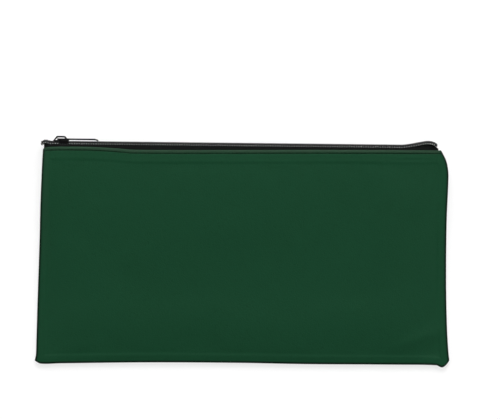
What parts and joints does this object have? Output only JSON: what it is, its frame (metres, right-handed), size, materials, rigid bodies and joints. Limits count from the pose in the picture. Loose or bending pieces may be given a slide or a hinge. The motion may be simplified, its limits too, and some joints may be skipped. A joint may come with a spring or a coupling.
{
  "type": "cash deposit bag",
  "caption": "Flat zip-top pouch for carrying cash: a front and a back faux-leather panel sewn together and turned, closed along the long edge by a coil zip whose slider runs the length of it.",
  "frame": {"origin": "centre of the pouch's outline, on the surface that it lies on, back panel down", "axes": "+X along the zip towards the end that the slider opens to, +Y from the bottom seam towards the zip, +Z out of the front panel"},
  "size_m": [0.2698, 0.1505, 0.0129],
  "materials": {
    "faux_leather": "dark green grained polyurethane leather, semi-matt",
    "zip_tape": "black woven polyester, matt",
    "zip_coil": "black nylon monofilament, slightly glossy",
    "sewing_thread": "dark green spun polyester thread",
    "black_enamel": "black enamelled die-cast zinc, satin gloss"
  },
  "bodies": {
    "pouch": {"front_panel": "faux_leather", "back_panel": "faux_leather", "front_zip_tape": "zip_tape", "back_zip_tape": "zip_tape", "front_coil": "zip_coil", "back_coil": "zip_coil", "front_coil_cord": "zip_tape", "back_coil_cord": "zip_tape", "front_coil_stitching": "zip_tape", "back_coil_stitching": "zip_tape", "front_topstitch_needle_thread": "sewing_thread", "back_topstitch_needle_thread": "sewing_thread", "front_topstitch_bobbin_thread": "sewing_thread", "back_topstitch_bobbin_thread": "sewing_thread", "left_seam_needle_thread": "sewing_thread", "left_seam_bobbin_thread": "sewing_thread", "right_seam_needle_thread": "sewing_thread", "right_seam_bobbin_thread": "sewing_thread", "bottom_seam_needle_thread": "sewing_thread", "bottom_seam_bobbin_thread": "sewing_thread"},
    "slider": {"slider_body": "black_enamel"},
    "pull": {"pull_tab": "black_enamel"}
  },
  "joints": [
    {"name": "slider_slide", "type": "slide", "parent": "pouch", "child": "slider", "axis": [0.9999, -0.0111, 0], "range_m": [0, 0.197]},
    {"name": "pull_hinge", "type": "hinge", "parent": "slider", "child": "pull", "pos_m": [-0.11957, 0.07312, 0.00645], "axis": [0, 0, 1], "range_deg": [0, 175]}
  ]
}
